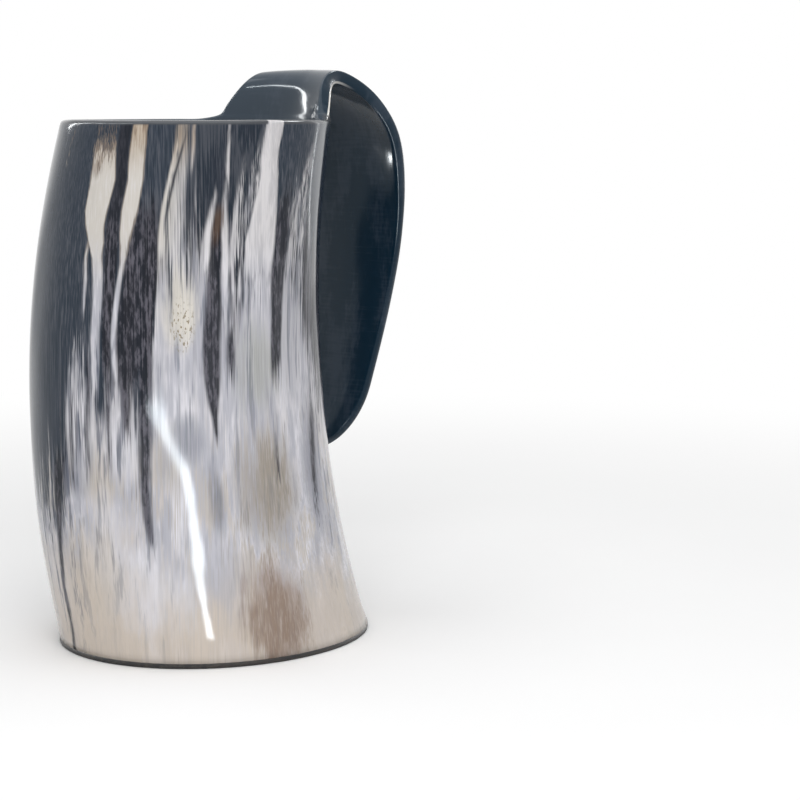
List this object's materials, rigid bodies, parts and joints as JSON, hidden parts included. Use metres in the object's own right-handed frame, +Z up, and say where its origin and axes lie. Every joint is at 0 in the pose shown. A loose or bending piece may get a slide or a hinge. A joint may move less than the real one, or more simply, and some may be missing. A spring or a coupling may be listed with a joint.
{
  "type": "drinking horn tankard",
  "caption": "Bowed cattle-horn tankard with a rounded rim, a strap handle bent over from the rim out of the same horn, a glued dark base disc and a dark sealed inside.",
  "frame": {"origin": "middle of the foot, on the surface that the tankard stands on", "axes": "+Z up along the tankard, +X towards the handle, +Y to the left of the handle seen from behind it"},
  "size_m": [0.1286, 0.0908, 0.1758],
  "materials": {
    "horn": "polished horn, slate and black streaked with cream, tan at the foot",
    "base": "black stained, satin",
    "glue": "hardened amber glue",
    "sealant": "glossy black resin",
    "coat": "glossy black lacquer"
  },
  "bodies": {
    "root": {"horn_shell": "horn", "base_disc": "base", "glue_ring": "glue", "seal_bead": "sealant", "inner_coat": "coat"}
  },
  "joints": []
}
